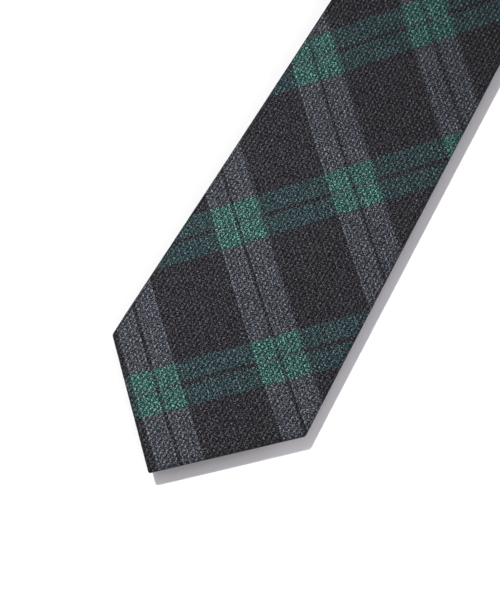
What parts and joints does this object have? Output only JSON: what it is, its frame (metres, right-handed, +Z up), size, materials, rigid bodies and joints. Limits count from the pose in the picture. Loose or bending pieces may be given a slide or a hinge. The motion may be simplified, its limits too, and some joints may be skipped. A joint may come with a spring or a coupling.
{
  "type": "necktie",
  "caption": "Plaid necktie with a pointed front blade and narrow tail, folded in quarters, with lining, interlining, keeper loop and blank labels.",
  "frame": {"origin": "under the middle of the folded stack, at the height of the surface that it lies on", "axes": "-X towards the front blade's point, +X towards the two far folds, +Y across the tie, +Z up out of the front blade's face"},
  "size_m": [0.3896, 0.0748, 0.0154],
  "materials": {
    "shell": "woven black, grey and green plaid, cut on the bias",
    "lining": "smooth satin lining",
    "interlining": "brushed wool canvas",
    "label": "woven satin tape, blank",
    "thread": "twisted sewing thread"
  },
  "bodies": {
    "neck": {"neck_shell_rear": "shell", "tail_neck_seam": "thread", "tail_shell_upper": "shell", "tail_interlining_upper": "interlining", "slip_stitch_neck": "thread", "neck_fold_bend": "shell"},
    "upper_blade": {"front_blade_shell_upper": "shell", "front_interlining_upper": "interlining", "front_neck_seam": "thread", "neck_shell_front": "shell", "slip_stitch_upper": "thread", "blade_fold_bend": "shell"},
    "front_blade": {"front_blade_shell_lower": "shell", "front_interlining_lower": "interlining", "front_tipping": "lining", "front_bar_tack": "thread", "slip_stitch_blade": "thread", "keeper_loop": "shell", "keeper_tack_1": "thread", "keeper_tack_2": "thread", "brand_label": "label", "brand_label_tack_1": "thread", "brand_label_tack_2": "thread", "brand_label_tack_3": "thread", "brand_label_tack_4": "thread"},
    "tail": {"tail_shell_lower": "shell", "tail_interlining_lower": "interlining", "tail_tipping": "lining", "tail_bar_tack": "thread", "slip_stitch_tail": "thread", "care_label": "label", "tail_fold_bend": "shell"}
  },
  "joints": [
    {"name": "neck_fold", "type": "hinge", "parent": "neck", "child": "upper_blade", "pos_m": [-0.16775, 0, 0.0077], "axis": [0, -1, 0], "range_deg": [0, 179], "deforming": ["neck_fold_bend"]},
    {"name": "blade_fold", "type": "hinge", "parent": "upper_blade", "child": "front_blade", "pos_m": [0.19115, 0, 0.0117], "axis": [0, 1, 0], "range_deg": [0, 179], "deforming": ["blade_fold_bend"]},
    {"name": "tail_fold", "type": "hinge", "parent": "neck", "child": "tail", "pos_m": [0.19115, 0, 0.0037], "axis": [0, -1, 0], "range_deg": [0, 179], "deforming": ["tail_fold_bend"]}
  ]
}
